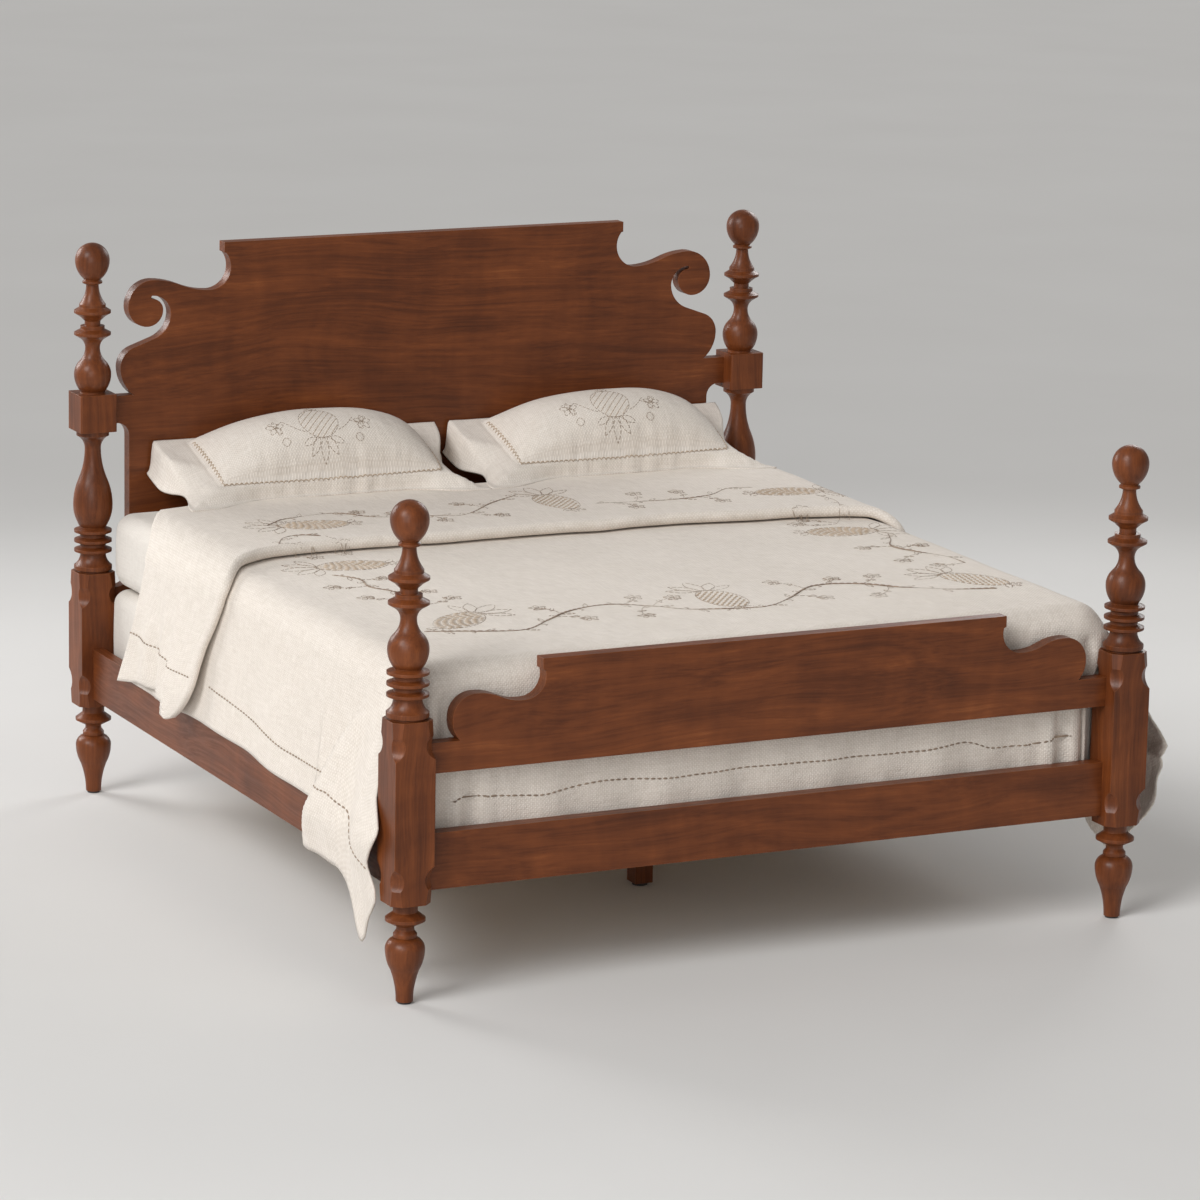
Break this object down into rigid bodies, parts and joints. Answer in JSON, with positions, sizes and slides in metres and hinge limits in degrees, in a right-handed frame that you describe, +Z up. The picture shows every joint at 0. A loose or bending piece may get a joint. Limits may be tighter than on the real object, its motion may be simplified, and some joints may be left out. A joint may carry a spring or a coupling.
{
  "type": "poster bed",
  "caption": "Low poster bed with turned ball-finial posts, scrolled headboard and footboard, slats, box spring, mattress, turned-down coverlet and pillows.",
  "frame": {"origin": "on the floor, under the middle of the bed's box", "axes": "+Z up, +Y towards the head, +X to the right as seen from the foot"},
  "size_m": [2.2, 2.2458, 1.532],
  "materials": {
    "hardwood": "stained reddish-brown hardwood, satin clear coat",
    "slat_wood": "planed softwood, bare",
    "steel": "zinc-plated pressed steel",
    "glide": "dark moulded plastic",
    "ticking": "woven off-white ticking, matt",
    "linen": "heavy cream linen, matt",
    "thread": "tan embroidery thread"
  },
  "bodies": {
    "root": {"beam_bracket_foot": "steel", "beam_bracket_head": "steel", "box_spring": "ticking", "centre_beam": "slat_wood", "centre_leg_front": "slat_wood", "centre_leg_rear": "slat_wood", "coverlet": "linen", "foot_rail": "hardwood", "footboard_panel": "hardwood", "head_rail": "hardwood", "headboard_panel": "hardwood", "hook_plate_foot_left": "steel", "hook_plate_foot_right": "steel", "hook_plate_head_left": "steel", "hook_plate_head_right": "steel", "ledger_left": "slat_wood", "ledger_right": "slat_wood", "leg_leveller_front": "glide", "leg_leveller_rear": "glide", "mattress": "ticking", "pillow_left": "linen", "pillow_right": "linen", "post_foot_left": "hardwood", "post_foot_right": "hardwood", "post_glide_foot_left": "glide", "post_glide_foot_right": "glide", "post_glide_head_left": "glide", "post_glide_head_right": "glide", "post_head_left": "hardwood", "post_head_right": "hardwood", "side_rail_left": "hardwood", "side_rail_right": "hardwood", "slat_01": "slat_wood", "slat_02": "slat_wood", "slat_03": "slat_wood", "slat_04": "slat_wood", "slat_05": "slat_wood", "slat_06": "slat_wood", "slat_07": "slat_wood", "slat_08": "slat_wood", "slat_09": "slat_wood", "slat_10": "slat_wood", "slat_11": "slat_wood", "slat_12": "slat_wood", "slot_plate_foot_left": "steel", "slot_plate_foot_right": "steel", "slot_plate_head_left": "steel", "slot_plate_head_right": "steel"}
  },
  "joints": []
}
